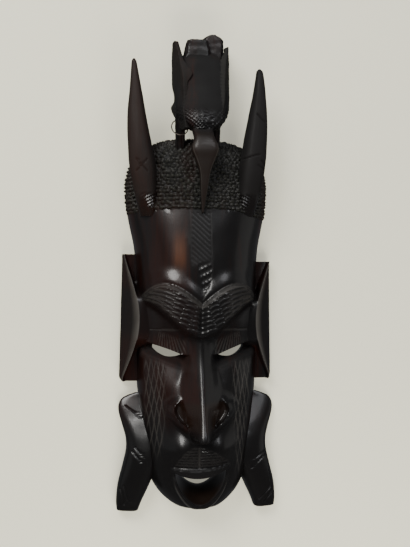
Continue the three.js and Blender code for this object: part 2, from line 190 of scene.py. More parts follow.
# The eyes: a lid panel under each brow, cut with a fan of strokes, and a deep slit below it that is pierced
# at its inner part. A fine crease runs level across each lid.
LID_OUTER_U, LID_OUTER_Y = 54.7, -59.0
LID_REACH = 38.0
LID_DROP = 12.0
SOCKET_DEPTH = 5.0
SLIT_DEPTH = 8.0
SLIT_HEIGHT = 9.0
LID_FAN = {"u": 31.0, "y": -31.0, "degrees": 4.3, "half": 1.25}
LID_CORNER = {"slant": 0.8, "pitch": 2.4, "half": 0.6, "share": 0.6}
LID_CREASE = {"y": -49.3, "half": 0.6, "share": 0.6}
LID_CUT = 0.65


def lid_edge(u):
    return LID_OUTER_Y - LID_DROP * share_of(LID_OUTER_U, LID_OUTER_U - LID_REACH, u) ** 1.3


def slit(u, y):
    """The share of full depth of the slit below the lid."""
    edge = lid_edge(u)
    foot = edge - SLIT_HEIGHT
    sides = smooth(8, 16, u) * smooth(58, 44, u)
    return sides * smooth(edge + 0.5, edge - 0.9, y) * smooth(foot - 3, foot + 4, y)


def socket(u, y):
    low, edge = brow_low(u), lid_edge(u)
    lid = smooth(8, 16, u) * smooth(53, 40, u) * smooth(low + 2, low - 4, y) * smooth(edge - 40, edge - 2, y)
    return -SOCKET_DEPTH * lid - SLIT_DEPTH * slit(u, y)


def lid_cuts(u, y):
    edge = lid_edge(u)
    crease = groove(y - LID_CREASE["y"], LID_CREASE["half"]) * smooth(17, 20, u) * smooth(56, 53, u)
    above = smooth(edge + 0.4, edge + 1.6, y)
    angle = math.degrees(math.atan2(LID_FAN["u"] - u, LID_FAN["y"] - y))
    fan = hatch(angle, LID_FAN["degrees"], LID_FAN["half"]) * smooth(edge + 15, edge + 11, y)
    fan *= smooth(12, 14, u) * smooth(38, 35, u)
    corner = hatch(y + LID_CORNER["slant"] * u, LID_CORNER["pitch"], LID_CORNER["half"])
    corner *= smooth(edge + 9, edge + 7, y) * smooth(43, 45, u) * smooth(55, 52, u)
    return -LID_CUT * max(LID_CREASE["share"] * crease, above * max(fan, LID_CORNER["share"] * corner))


# The nose: a sharp ridge whose sides run out in a hollow curve on the cheeks. A wing curls round each
# nostril, a shallow pocket between the wing's rim and the foot of the ridge. The muzzle swells below it.
NOSE_RAISE = [(-147, 23.2), (-139, 25.8), (-125, 22.5), (-103, 15.2), (-80, 8.5), (-58, 3.6), (-46, 0)]
NOSE_HALF_WIDTH = [(-147, 8), (-141, 10), (-132, 14), (-120, 20), (-109, 23), (-95, 21), (-80, 16), (-58, 9)]
RIDGE_HALF_WIDTH = [(-147, 2.5), (-138, 3.8), (-130, 3.0), (-121, 2.2), (-100, 1.3), (-58, 0.6)]
RIDGE_SOFT = 1.4
NOSE_HOLLOW = 1.25
NOSE_FOOT = 0.4
NOSE_TOP_Y = -46.0
NOSE_UNDER_Y = (-147, -140.5)
WING_RAISE = [(-144, 0), (-138, 4.5), (-131, 8.5), (-121, 8.5), (-113, 7), (-105, 3.5), (-92, 0)]
WING_ROWS = [
    (-144, 6, 7), (-138, 9, 8), (-134.5, 11.2, 10), (-129, 16.5, 12), (-124.5, 21, 12), (-118, 24.2, 12),
    (-113, 22.8, 12.5), (-109.5, 19.5, 13), (-104, 15, 14), (-92, 12, 14),
]
WING_POWER = 2.2
NOSTRIL_DEPTH = 5.2
NOSTRIL_WALL = (0.2, 3.6)
NOSTRIL_LOW_Y = (-136, -131)
NOSTRIL_TOP_Y = (-107.5, -113.5)
NOSTRIL_RIM = 0.8
NOSE_BLEND = 1.6
MUZZLE = {"u": 16.5, "y": -152.0, "wide": 14.5, "tall": 12.0, "raise": 6.2}


def nose(u, y):
    if y > NOSE_TOP_Y:
        return 0.0
    raised = through(NOSE_RAISE, y)[0] * smooth(*NOSE_UNDER_Y, y)
    flat = through(RIDGE_HALF_WIDTH, y)[0]
    past = blended(u, flat, RIDGE_SOFT) - flat
    side = max(0.0, 1 - past / (through(NOSE_HALF_WIDTH, y)[0] - flat))
    return raised * side**NOSE_HOLLOW * smooth(0, NOSE_FOOT, side)


def nostril(u, y):
    """The share of full depth of the nostril's pocket."""
    outer = through(WING_ROWS, y)[0]
    opened = smooth(*NOSTRIL_LOW_Y, y) * smooth(*NOSTRIL_TOP_Y, y)
    return opened * smooth(*NOSTRIL_WALL, outer - u)


def wing(u, y):
    crest = max(0.0, through(WING_RAISE, y)[0])
    outer, wide = through(WING_ROWS, y)
    rim = NOSTRIL_RIM * smooth(*NOSTRIL_LOW_Y, y) * smooth(*NOSTRIL_TOP_Y, y) * math.exp(-((u - outer) ** 2))
    if u > outer:
        crest *= max(0.0, 1 - ((u - outer) / wide) ** 2) ** WING_POWER
    return crest + rim - NOSTRIL_DEPTH * nostril(u, y)


def blended(a, b, soft):
    """The greater of two heights, with the crease between them rounded."""
    return (a + b + math.sqrt((a - b) ** 2 + soft * soft) - soft) / 2


def muzzle(u, y):
    off = ((u - MUZZLE["u"]) / MUZZLE["wide"]) ** 2 + ((y - MUZZLE["y"]) / MUZZLE["tall"]) ** 2
    return MUZZLE["raise"] * math.exp(-off)


# The mouth: a D-shaped opening under a bowed upper lip, with a lower lip that runs round it. Over the upper
# lip is a low arch of fine hatching that stands for a moustache.
MOUTH_Y = -173.0
MOUTH_WIDE, MOUTH_TALL = 22.0, 29.0
LIP_WIDE, LIP_TALL = 26.0, 36.5
MOUTH_POWER = 1.7
LIP_RAISE = 2.8
LIP_CORNER_U = 26.0
UPPER_LIP = {"low": {"y": -177.0, "bow": 8.0}, "top": {"y": -168.5, "bow": 2.0}}
UPPER_LIP_LEAN = 1.5
UPPER_LIP_SHOULDER = 0.3
LOWER_LIP_EDGE = 0.93
LOWER_LIP_TAPER = 12.0
MOUSTACHE_X = (-25.5, 26.5)
MOUSTACHE_TOP = [(-27, -170), (-24.7, -168.3), (-11.8, -151.5), (0.3, -150.1), (11.6, -153.9), (26.8, -165)]
MOUSTACHE_PITCH = 2.6
MOUSTACHE_CUT = 0.55
MOUSTACHE_CUT_HALF = 0.8
PHILTRUM = {"x": -1.8, "half": 1.5, "share": 1.3}


def upper_lip(x, edge):
    """Y of the low or the top edge of the upper lip."""
    share = x / LIP_CORNER_U
    return UPPER_LIP[edge]["y"] + UPPER_LIP[edge]["bow"] * share**2 + UPPER_LIP_LEAN * share


def round_mouth(x, y, wide, tall):
    """1 on an outline of that width and height round the mouth, and less inside it."""
    return (abs(x / wide) ** MOUTH_POWER + abs((y - MOUTH_Y) / tall) ** MOUTH_POWER) ** (1 / MOUTH_POWER)


def lips(x, y):
    low = upper_lip(x, "low")
    drop = share_of(upper_lip(x, "top"), low, y)
    upper = smooth(0, UPPER_LIP_SHOULDER, drop) * smooth(low - 1.5, low - 0.4, y)
    upper *= smooth(LIP_CORNER_U + 1, LIP_CORNER_U - 5, abs(x))
    inner = round_mouth(x, y, MOUTH_WIDE, MOUTH_TALL)
    outer = round_mouth(x, y, LIP_WIDE, LIP_TALL)
    lower = smooth(LOWER_LIP_EDGE, 1, inner) * smooth(1, LOWER_LIP_EDGE, outer)
    lower *= smooth(MOUTH_Y, MOUTH_Y - LOWER_LIP_TAPER, y)
    return LIP_RAISE * max(upper, lower)


def moustache_cuts(x, y):
    if not MOUSTACHE_X[0] < x < MOUSTACHE_X[1]:
        return 0.0
    top, low = through(MOUSTACHE_TOP, x)[0], upper_lip(x, "top")
    inside = smooth(low - 0.2, low + 0.8, y) * smooth(top + 0.4, top - 0.6, y)
    level = hatch(y - 0.06 * abs(x), MOUSTACHE_PITCH, MOUSTACHE_CUT_HALF)
    slanted = hatch(y * 0.6 + abs(x), MOUSTACHE_PITCH * 1.5, MOUSTACHE_CUT_HALF)
    middle = PHILTRUM["share"] * groove(x - PHILTRUM["x"], PHILTRUM["half"])
    return -MOUSTACHE_CUT * inside * max(level, 0.45 * slanted, middle)


# The hair: a cap of small round nubs, chip-carved in rows from the hairline over the crown. They are finer
# and flatter to the right of the bill. The cap stands a little proud of the forehead.
HAIRLINE_Y = 55.8
HAIRLINE_DROP = {-1: 2.6, 1: 7.5}
HAIR_RAISE = 1.2
HAIR_STEP = 1.2
NUB_HEIGHT = 2.3
NUB_SUNK = 0.7
NUBS = {-1: {"across": 4.0, "row": 3.5, "height": 1.0}, 1: {"across": 3.3, "row": 2.9, "height": 0.75}}
NUB_JITTER = 0.55
NUB_RADIUS = {"least": 0.50, "more": 0.10}
NUB_TOP = {"least": 0.75, "more": 0.5}


def hairline(x):
    return HAIRLINE_Y - HAIRLINE_DROP[1 if x > 0 else -1] * smooth(16, 60, abs(x)) ** 1.2


def hair(x, y):
    line = hairline(x)
    return HAIR_RAISE * smooth(line - 0.3, line + HAIR_STEP, y)


ARC_STEP = 1.0
hair_arc = [0.0]
while HAIRLINE_Y + ARC_STEP * len(hair_arc) < CROWN_Y:
    y_now = HAIRLINE_Y + ARC_STEP * len(hair_arc)
    hair_arc.append(hair_arc[-1] + math.hypot(ARC_STEP, height(y_now) - height(y_now - ARC_STEP)))


def nub(x, s, along):
    """The nubs' height, from 0 between them to about 1 on top, at a share s of the arch and a row along."""
    kind = NUBS[1 if x > 0 else -1]
    wide, tall = half_width(min(along, CROWN_Y)), height(min(along, CROWN_Y))
    quarter = math.pi / 4 * (3 * (wide + tall) - math.sqrt((3 * wide + tall) * (wide + 3 * tall)))
    step = (along - HAIRLINE_Y) / ARC_STEP
    whole = int(min(max(0, step), len(hair_arc) - 1))
    arc = hair_arc[whole] + (step - whole) * ARC_STEP
    a, b = s * quarter / kind["across"], arc / kind["row"]
    best = 0.0
    for row in (math.floor(b) - 1, math.floor(b), math.floor(b) + 1):
        first = math.floor(a - 0.5 * (row % 2))
        for column in (first - 1, first, first + 1):
            chance = noise.cell_vector(Vector((column + 0.5, row + 0.5, x > 0)))
            middle_a = column + 0.5 + 0.5 * (row % 2) + NUB_JITTER * (chance.x - 0.5)
            middle_b = row + 0.5 + NUB_JITTER * (chance.y - 0.5)
            size = NUB_RADIUS["least"] + NUB_RADIUS["more"] * chance.z
            off = math.hypot(a - middle_a, b - middle_b) / size
            best = max(best, (1 - off * off) * (NUB_TOP["least"] + NUB_TOP["more"] * chance.x))
    return best * kind["height"]


# The forehead band runs down from the hair to the V of the brows. It is cut with slanting strokes, and lower
# down with short steep ones between broad slanting cuts.
BAND_TOP_Y = 53.0
BAND_LOW_Y = -22.5
BAND_HALF = [(-22.5, 0.6), (-12, 6.2), (-1.3, 9.0), (20, 8.6), (53, 8.1)]
BAND_X = -0.3
BAND_PITCH = 4.5
BAND_SLANT = 0.95
BAND_CUT = {"edge": 0.35, "slanting": 0.5}
STEEP_PITCH = 3.6
STEEP_TOP_Y = 10.0


def band_cuts(x, y):
    if not (BAND_LOW_Y < y < BAND_TOP_Y and abs(x - BAND_X) < 11):
        return 0.0
    half = through(BAND_HALF, y)[0]
    edge = groove(x - BAND_X - half, 0.7)
    inside = smooth(half, half - 1, abs(x - BAND_X))
    strokes = hatch(y + BAND_SLANT * x, BAND_PITCH, 1.0) * smooth(STEEP_TOP_Y - 5, STEEP_TOP_Y + 3, y)
    steep = max(hatch(x + 0.3 * y, STEEP_PITCH, 0.6), hatch(y - 0.5 * x, BAND_PITCH * 1.5, 2.6))
    steep *= smooth(STEEP_TOP_Y + 3, STEEP_TOP_Y - 4, y) * smooth(-3, 0, x + 0.2 * y)
    return -max(BAND_CUT["edge"] * edge, inside * max(BAND_CUT["slanting"] * strokes, steep))


# The cheeks carry long fine knife lines that cross at a narrow angle, in a strip on each side of the face.
CHEEKS = {-1: {"u": (31, 48), "y": (-162, -76)}, 1: {"u": (29, 45), "y": (-180, -76)}}
CHEEK_PITCH = 3.9
CHEEK_SLANTS = (0.16, 0.21)
CHEEK_DRIFT = 1.6
CHEEK_CUT = 0.24
CHEEK_CUT_HALF = 0.5


def cheek_cuts(x, y):
    strip = CHEEKS[1 if x > 0 else -1]
    low, top = strip["y"]
    u = abs(x)
    inner = strip["u"][0] + 3 * smooth(-110, -170, y)
    outer = strip["u"][1] - 7 * smooth(-110, -175, y)
    inside = smooth(inner - 2, inner + 2, u) * smooth(outer + 1, outer - 1, u)
    inside *= smooth(low - 6, low + 20, y) * smooth(top + 2, top - 4, y)
    if inside <= 0:
        return 0.0
    drift = CHEEK_DRIFT * noise.noise(Vector((x / 7, y / 34, 0)))
    one = hatch(u + drift + CHEEK_SLANTS[0] * (y - top), CHEEK_PITCH, CHEEK_CUT_HALF)
    two = hatch(u - drift - CHEEK_SLANTS[1] * (y - top), CHEEK_PITCH * 1.2, CHEEK_CUT_HALF)
    return -CHEEK_CUT * inside * max(one, 0.85 * two)


def relief(x, y):
    u = abs(x)
    ridge = blended(nose(u, y), wing(u, y), NOSE_BLEND)
    return brow(u, y) + socket(u, y) + ridge + muzzle(u, y) + lips(x, y) + hair(x, y)


def face_point(s, along):
    y, left = rolled(along)
    lean = math.pi / 2 * abs(s) ** (1 / ARCH_POWER)
    u = half_width(y) * math.sin(lean) ** ARCH_POWER
    dome = height(y) * max(0.0, math.cos(lean)) ** ARCH_POWER
    x = math.copysign(u, s)
    return Vector((x, y, (dome + relief(x, y) * smooth(0, 12, dome)) * left))


def fineness(x, y):
    """How many times a square of the sheet is halved there."""
    u = abs(x)
    if y > hairline(x) - 2:
        return 2
    if y > -24 and abs(x - BAND_X) < through(BAND_HALF, y)[0] + 2:
        return 2
    if u < BROW_END_U + 2 and brow_low(min(u, BROW_END_U)) - 3 < y < brow_top(min(u, BROW_END_U)) + 2:
        return 2
    if 10 < u < 57 and lid_edge(u) - SLIT_HEIGHT - 3 < y < lid_edge(u) + 16:
        return 2
    strip = CHEEKS[1 if x > 0 else -1]
    if strip["u"][0] - 1 < u < strip["u"][1] + 1 and strip["y"][0] - 5 < y < strip["y"][1] + 2:
        return 2
    if u < 32 and -152 < y < -98 or u < 28 and y <= -148:
        return 2
    if u < 34 and y < -56 or -80 < y < -40:
        return 1
    return 0


def sheet_coordinates(co):
    low, high = CHIN_Y - CHIN_SPAN, CROWN_Y + CROWN_SPAN
    return 2 * co.x, low + (co.y + 0.5) * (high - low)


def refine(bm, wanted):
    """Halves the squares of a sheet or a rod while wanted, a count for a place on it, asks for more."""
    for level in (1, 2):
        faces = [f for f in bm.faces if wanted(f.calc_center_median()) >= level]
        edges = list({e for f in faces for e in f.edges})
        bmesh.ops.subdivide_edges(bm, edges=edges, cuts=1, use_grid_fill=True)


def waver(co, size, amount):
    """The slight unevenness that a hand-held blade leaves in a smooth face."""
    return amount * noise.noise(co / size)


def face_out(bm):
    """Turns the faces of a form outwards. Placing a rod along Y mirrors it."""
    bm.normal_update()
    bmesh.ops.recalc_face_normals(bm, faces=bm.faces)
    if bm.calc_volume(signed=True) < 0:
        bmesh.ops.reverse_faces(bm, faces=bm.faces)
    bm.normal_update()


def carve(bm, depth):
    """Moves each point of a form out along its normal by depth, which is a function of the point."""
    face_out(bm)
    moves = [(v, v.normal * depth(v)) for v in bm.verts]
    for v, move in moves:
        v.co += move


MARKS = ("dust_and_sheen", "nub", "cut", "dull", "brown", "raw", "scratch_and_glint")


def mark(bm, name, value):
    """Marks each point of a form for its finish. Value is a number, or a function of the point."""
    layer = bm.verts.layers.float.get(name) or bm.verts.layers.float.new(name)
    for v in bm.verts:
        v[layer] = value(v) if callable(value) else value


def added(name, data):
    """A new object of the scene with that mesh, light or camera."""
    made = bpy.data.objects.new(name, data)
    bpy.context.scene.collection.objects.link(made)
    return made


def meshed(name, bm):
    mesh = bpy.data.meshes.new(name)
    bm.to_mesh(mesh)
    bm.free()
    return added(name, mesh)


def carved(name, bm):
    """A closed form as an object, in metres, with its faces pointing out."""
    face_out(bm)
    for kind in MARKS:
        if kind not in bm.verts.layers.float:
            bm.verts.layers.float.new(kind)
    bmesh.ops.scale(bm, vec=(MM, MM, MM), verts=bm.verts)
    return meshed(name, bm)


head = bmesh.new()
dust_and_sheen, nub_top, cut, shaded, dulled, scratch_and_glint_layer = [
    head.verts.layers.float.new(kind) for kind in ("dust_and_sheen", "nub", "cut", "brown", "dull", "scratch_and_glint")
]
squares = round((CROWN_Y - CHIN_Y + CHIN_SPAN + CROWN_SPAN) / SQUARE)
bmesh.ops.create_grid(head, x_segments=round(ARCH_LENGTH / SQUARE), y_segments=squares, size=0.5)


def head_fineness(co):
    s, along = sheet_coordinates(co)
    if abs(s) > 0.985 or not CHIN_Y - 8 < along < CROWN_Y + 9:
        return 0
    point = face_point(s, along)
    return fineness(point.x, point.y)


refine(head, head_fineness)
places = {v: sheet_coordinates(v.co) for v in head.verts}
for v, (s, along) in places.items():
    v.co = face_point(s, along)


DULL = {"lip": 0.6, "brow": 0.7, "band": 0.6}
SCRATCH_AND_GLINT = {"cheek": 0.6, "lid": 0.6, "brow": 0.5, "moustache": 0.3, "lip": 0.5}
HEAD_WAVER = (16, 0.16)


def dullness(x, y):
    """How dull the face is there: in the slits, on the upper lip, on the outer brows and high on the band."""
    u = abs(x)
    top, edge = brow_top(u), lid_edge(u)
    foot = edge - SLIT_HEIGHT
    lip = DULL["lip"] * smooth(0, 1, lips(x, y)) * smooth(-182, -176, y)
    outer = DULL["brow"] * smooth(0.5, 2, brow(u, y)) * smooth(16, 36, u) * smooth(top, top - 3, y)
    band = DULL["band"] * smooth(10, 8, abs(x - BAND_X)) * smooth(4, 14, y)
    pierced = smooth(foot - 8, foot - 3, y) * smooth(edge + 1, edge - 1, y) * smooth(6, 12, u)
    return max(pierced, lip, outer, band)


def scratches_and_glints(x, y):
    """How much the knife lines on cheeks, lids, brows and moustache are painted lighter, partly as bare wood
    and partly as painted glints, and the painted highlight along the lower lip.
    """
    u = abs(x)
    cheek = -SCRATCH_AND_GLINT["cheek"] * cheek_cuts(x, y) / CHEEK_CUT
    lid = -SCRATCH_AND_GLINT["lid"] * lid_cuts(u, y)
    borders = -brow_cuts(u, y) * smooth(0.72, 0.9, (y - brow_low(u)) / (brow_top(u) - brow_low(u)))
    outer = -SCRATCH_AND_GLINT["brow"] * brow_cuts(u, y) * smooth(14, 34, u)
    moustache = -SCRATCH_AND_GLINT["moustache"] * moustache_cuts(x, y)
    # A painted highlight along the outline of the lower lip.
    lip = SCRATCH_AND_GLINT["lip"] * groove(round_mouth(x, y, LIP_WIDE - 1.5, LIP_TALL - 2) - 1, 0.03)
    return max(cheek, lid, borders, outer, moustache, lip * smooth(-177, -190, y))


def head_depth(v):
    s, along = places[v]
    x, y, z = v.co
    u = abs(x)
    keep = smooth(0, 3, z)
    cuts = brow_cuts(u, y) + lid_cuts(u, y) + band_cuts(x, y) + cheek_cuts(x, y) + moustache_cuts(x, y)
    line = hairline(x)
    if y > line:
        raised = nub(x, s, along) * smooth(line, line + 1.2, y)
        v[nub_top] = raised
        # The hair is marked grey with dust. In the finish the nub tops get most of it, which is a painted
        # sheen.
        v[dust_and_sheen] = smooth(line, line + 0.6, y)
        return keep * (NUB_HEIGHT * raised - NUB_SUNK)
    v[cut] = -cuts
    v[shaded] = nostril(u, y)
    v[dulled] = dullness(x, y)
    # Painted glints on the knife lines, partly bare wood, and a painted highlight along the lower lip.
    v[scratch_and_glint_layer] = scratches_and_glints(x, y)
    return keep * (cuts + waver(v.co, *HEAD_WAVER) * smooth(line, line - 3, y))


carve(head, head_depth)
rim = [e for e in head.edges if e.is_boundary]
bmesh.ops.contextual_create(head, geom=rim)
mask = carved("carved_mask", head)

# The ears: long plates beside the head. A sharp ridge, with a painted highlight along it, bows inwards from
# both ends of each, over a pocket above and a pocket below.
EARS = [
    {"name": "left_ear", "side": -1, "top": 17.5, "low": -97.0, "top_u": 67.5, "bow_u": 53.5, "low_u": 70.5},
    {"name": "right_ear", "side": 1, "top": 11.0, "low": -96.0, "top_u": 68.5, "bow_u": 52.0, "low_u": 69.5},
]
EAR_BOW = {"start": 0.02, "run": 0.96, "power": 1.15, "closed": (0.62, 0.9)}
EAR_RIDGE_Z = (14.0, 30.0)
EAR_HIGHLIGHT_REACH = 0.9
EAR_FLOOR_Z = 9.0
EAR_EDGE_Z = 4.0
EAR_INNER_U = 42.0
EAR_INNER_RISE = -2.0
EAR_FOOT = {"tall": 4.5, "tuck": 2.2}
EAR_BACK_Z = 1.5
EAR_STEPS = 58
EAR_WAVER = (14, 0.12)
CHAMFER = 0.5
SIDE_SHARES = (0.0, 0.36, 0.64, 1.0)


def rod(segments, steps):
    """A capped round rod of unit size along Z, cut across into steps."""
    bm = bmesh.new()
    bmesh.ops.create_cone(bm, cap_ends=True, segments=segments, radius1=1, radius2=1, depth=1)
    walls = [e for e in bm.edges if abs(e.verts[0].co.z - e.verts[1].co.z) > 0.5]
    bmesh.ops.subdivide_edges(bm, edges=walls, cuts=steps - 1)
    return bm


def edged(corners, turn):
    """A point on an outline of straight sides with chamfered corners, at turn, a share of the way round."""
    count = len(corners)
    place = turn * count * len(SIDE_SHARES)
    side = int(place // len(SIDE_SHARES)) % count
    step = int(round(place)) % len(SIDE_SHARES)
    a, b = Vector(corners[side]), Vector(corners[(side + 1) % count])
    trim = min(0.3, CHAMFER / max((b - a).length, 1e-6))
    return a.lerp(b, trim + (1 - 2 * trim) * SIDE_SHARES[step])


def skinned(corners_at, low, high, steps):
    """A solid skinned over the outlines, X and Z pairs, that corners_at gives for each Y from low to high."""
    count = len(corners_at(low)) * len(SIDE_SHARES)
    bm = rod(count, steps)
    for v in bm.verts:
        turn = math.atan2(v.co.y, v.co.x) / (2 * math.pi) % 1
        y = low + (high - low) * (v.co.z + 0.5)
        x, z = edged(corners_at(y), round(turn * count) / count)
        v.co = Vector((x, y, z))
    return bm


def ear_corners(ear, y):
    share = share_of(ear["low"], ear["top"], y)
    bow = math.sin(math.pi * (share * EAR_BOW["run"] + EAR_BOW["start"])) ** EAR_BOW["power"]
    edge = ear["low_u"] + (ear["top_u"] - ear["low_u"]) * share
    edge -= EAR_FOOT["tuck"] * share_of(ear["low"] + EAR_FOOT["tall"], ear["low"], y) ** 2
    ridge_u = edge - 1 - (edge - 1 - ear["bow_u"]) * bow
    ridge_z = EAR_RIDGE_Z[0] + (EAR_RIDGE_Z[1] - EAR_RIDGE_Z[0]) * bow
    closed = smooth(*EAR_BOW["closed"], bow)
    floor = EAR_FLOOR_Z + (ridge_z - EAR_FLOOR_Z) * closed
    corners = [
        (EAR_INNER_U, floor + EAR_INNER_RISE * closed), (ridge_u - 2, floor), (ridge_u, ridge_z),
        (edge, EAR_EDGE_Z), (edge - 1, EAR_BACK_Z), (EAR_INNER_U, EAR_BACK_Z),
    ]
    return [(ear["side"] * u, z) for u, z in corners]


def ear_ridge_highlight(ear, co):
    """1 on the ridge of an ear, where a highlight is painted, and 0 away from it."""
    ridge = Vector(ear_corners(ear, co.y)[2])
    return 1.0 if (Vector((co.x, co.z)) - ridge).length < EAR_HIGHLIGHT_REACH else 0.0


ears = []
for ear in EARS:
    bm = skinned(lambda y: ear_corners(ear, y), ear["low"], ear["top"], EAR_STEPS)
    carve(bm, lambda v: waver(v.co, *EAR_WAVER))
    mark(bm, "dull", lambda v: 0.9 * smooth(0.3, 0.6, ear["side"] * v.normal.x))
    # A painted highlight along the ridge of each ear.
    mark(bm, "scratch_and_glint", lambda v: ear_ridge_highlight(ear, v.co))
    ears.append(carved(ear["name"], bm))

# The ear lobes: long drops that flare out at the foot, a little higher inside than outside, with pairs of
# slanting cuts.
LOBE_ROWS = [
    (-213, 53, 72.5), (-205, 50, 73), (-190, 43, 71.5), (-172, 36, 67), (-158, 36, 64), (-148, 36, 64.5),
    (-137, 36, 67.5), (-126, 36, 70.5), (-118, 36, 70.5), (-112, 36, 66), (-108.5, 36, 56),
]
LOBE_HEIGHT = [
    (-213, 14), (-190, 20), (-165, 24), (-150, 21.5), (-138, 17), (-125, 11.5), (-113, 6.8), (-108.5, 5.6),
]
LOBE_BACK = 4.0
LOBE_BACK_FLAT = 2.2
LOBE_SQUARE = 0.62
LOBE_LEAN = 0.2
LOBE_WAVER = (15, 0.2)
LOBE_CUT = 1.1
LOBE_CUT_HALF = 0.85
CUT_REACH = 3.0
LOBE_CUTS = {
    -1: [
        ((-56.3, -154.6), (-48.8, -163.3)), ((-58.9, -158.5), (-50.8, -167.3)),
        ((-66.6, -190.0), (-61.9, -204.5)), ((-69.5, -193.0), (-66.0, -207.0)),
        ((-64.5, -119.5), (-50.1, -129.6)),
    ],
    1: [
        ((61.9, -160.4), (51.2, -167.3)), ((63.0, -163.4), (48.5, -175.5)),
        ((68.4, -194.1), (56.5, -205.8)), ((70.6, -198.8), (60.9, -209.1)), ((62.4, -157.0), (71.2, -209.0)),
    ],
}


def stroke(x, y, start, end, half):
    """The share of full depth of one straight knife cut that fades at its ends."""
    a, b = Vector(start), Vector(end)
    run = b - a
    share = (Vector((x, y)) - a).dot(run) / run.length_squared
    across = (Vector((x, y)) - a.lerp(b, min(1.0, max(0.0, share)))).length
    return groove(across, half) if across < half else 0.0


def deepest(place, cuts, half):
    """The share of full depth of the deepest of some knife cuts at a place."""
    return max(stroke(place.x, place.y, *ends, half) for ends in cuts)


def lobe_place(side, co):
    low, high = LOBE_ROWS[0][0], LOBE_ROWS[-1][0]
    y = low + (high - low) * (co.z + 0.5)
    inner, outer = through(LOBE_ROWS, y)
    thick = through(LOBE_HEIGHT, y)[0]
    out = min(1.0, math.hypot(co.x, co.y))
    sine, cosine = co.x / max(out, 1e-6), co.y / max(out, 1e-6)
    across = math.copysign(abs(sine) ** LOBE_SQUARE, sine)
    x = side * (inner + outer) / 2 + (outer - inner) / 2 * out * across
    if cosine > 0:
        lean = 1 - LOBE_LEAN * side * out * across
        return Vector((x, y, LOBE_BACK + (thick - LOBE_BACK) * out * lean * cosine**LOBE_SQUARE))
    return Vector((x, y, LOBE_BACK + LOBE_BACK * out * max(-1, LOBE_BACK_FLAT * cosine)))


lobes = []
for side, cuts in LOBE_CUTS.items():
    bm = rod(36, 52)

    def lobe_fineness(co):
        near = deepest(lobe_place(side, co), cuts, CUT_REACH) > 0
        return 2 if near and co.y > 0 else 0

    def lobe_depth(v):
        if v.normal.z < 0.1:
            return 0.0
        return waver(v.co, *LOBE_WAVER) - LOBE_CUT * deepest(v.co, cuts, LOBE_CUT_HALF)

    refine(bm, lobe_fineness)
    for v in bm.verts:
        v.co = lobe_place(side, v.co)
    mark(bm, "cut", lambda v: deepest(v.co, cuts, LOBE_CUT_HALF))
    carve(bm, lobe_depth)
    lobes.append(carved("left_lobe" if side < 0 else "right_lobe", bm))

# The horns: tapered tusks that rise from the corners of the hairline, ringed with short cuts at the root and
# scored with a few slanting lines. Each row is Y, centre X, centre Z, half width and half depth.
HORNS = [
    {
        "name": "left_horn",
        "side": -1,
        "rows": [
            (50, 45, 32, 7, 7), (60, 46, 36, 8.6, 8.5), (74, 48, 38, 9.8, 9.5), (92, 50, 38.5, 11.2, 10.5),
            (114, 52.8, 38, 9.9, 10), (136, 55, 37, 8, 8.5), (163, 56.2, 35, 4.8, 5.2),
            (180, 57.2, 34, 2.7, 3), (186, 57.5, 33.5, 1.8, 1.9), (187.5, 57.5, 33.5, 0.7, 0.7),
        ],
        "cuts": [((-55.9, 98.3), (-46.6, 87.5)), ((-46.6, 97.8), (-55.9, 87.9))],
        "root_y": (57, 70),
        "brown": 0.6,
    },
    {
        "name": "right_horn",
        "side": 1,
        "rows": [
            (50, 40, 32, 7, 7), (60, 41.5, 36, 8.4, 8.5), (74, 43.5, 38, 9.6, 9.5),
            (92, 46, 38.5, 10.6, 10.5), (112, 48.5, 38, 10, 10), (135, 51, 37, 8.2, 8.5),
            (160, 53.2, 35, 5.2, 5.6), (176, 53.8, 34, 3.2, 3.4), (180.5, 53.6, 33.5, 2.2, 2.2),
            (181.5, 53.6, 33.5, 0.9, 0.9),
        ],
        "cuts": [
            ((49.4, 139.5), (56.5, 132.7)), ((52.9, 98.5), (58.3, 93.3)),
            ((37.0, 99.9), (51.2, 103.7)), ((50.0, 94.5), (57.0, 90.0)),
        ],
        "root_y": (57, 69),
        "brown": 0.15,
    },
]
HORN_ROOT_PITCH = 2.9
HORN_ROOT_SLANT = 0.55
HORN_ROOT_HALF = 0.95
HORN_ROOT_CUT = 1.1
HORN_CUT = 0.8
HORN_CUT_HALF = 0.8
HORN_WAVER = (14, 0.2)
HORN_FACET = 0.72
HORN_TWIST = math.radians(15)


def limb_place(rows, side, co):
    low, high = rows[0][0], rows[-1][0]
    y = low + (high - low) * (co.z + 0.5)
    centre_x, centre_z, half_x, half_z = through(rows, y)
    return Vector((side * centre_x + half_x * co.x, y, centre_z + half_z * co.y))


def faceted(co, power, twist):
    """A point of a round rod moved towards a square section turned by twist. Power 1 leaves it round."""
    turned = Matrix.Rotation(twist, 3, "Z") @ co
    turned.x = math.copysign(abs(turned.x) ** power, turned.x)
    turned.y = math.copysign(abs(turned.y) ** power, turned.y)
    return Matrix.Rotation(-twist, 3, "Z") @ turned


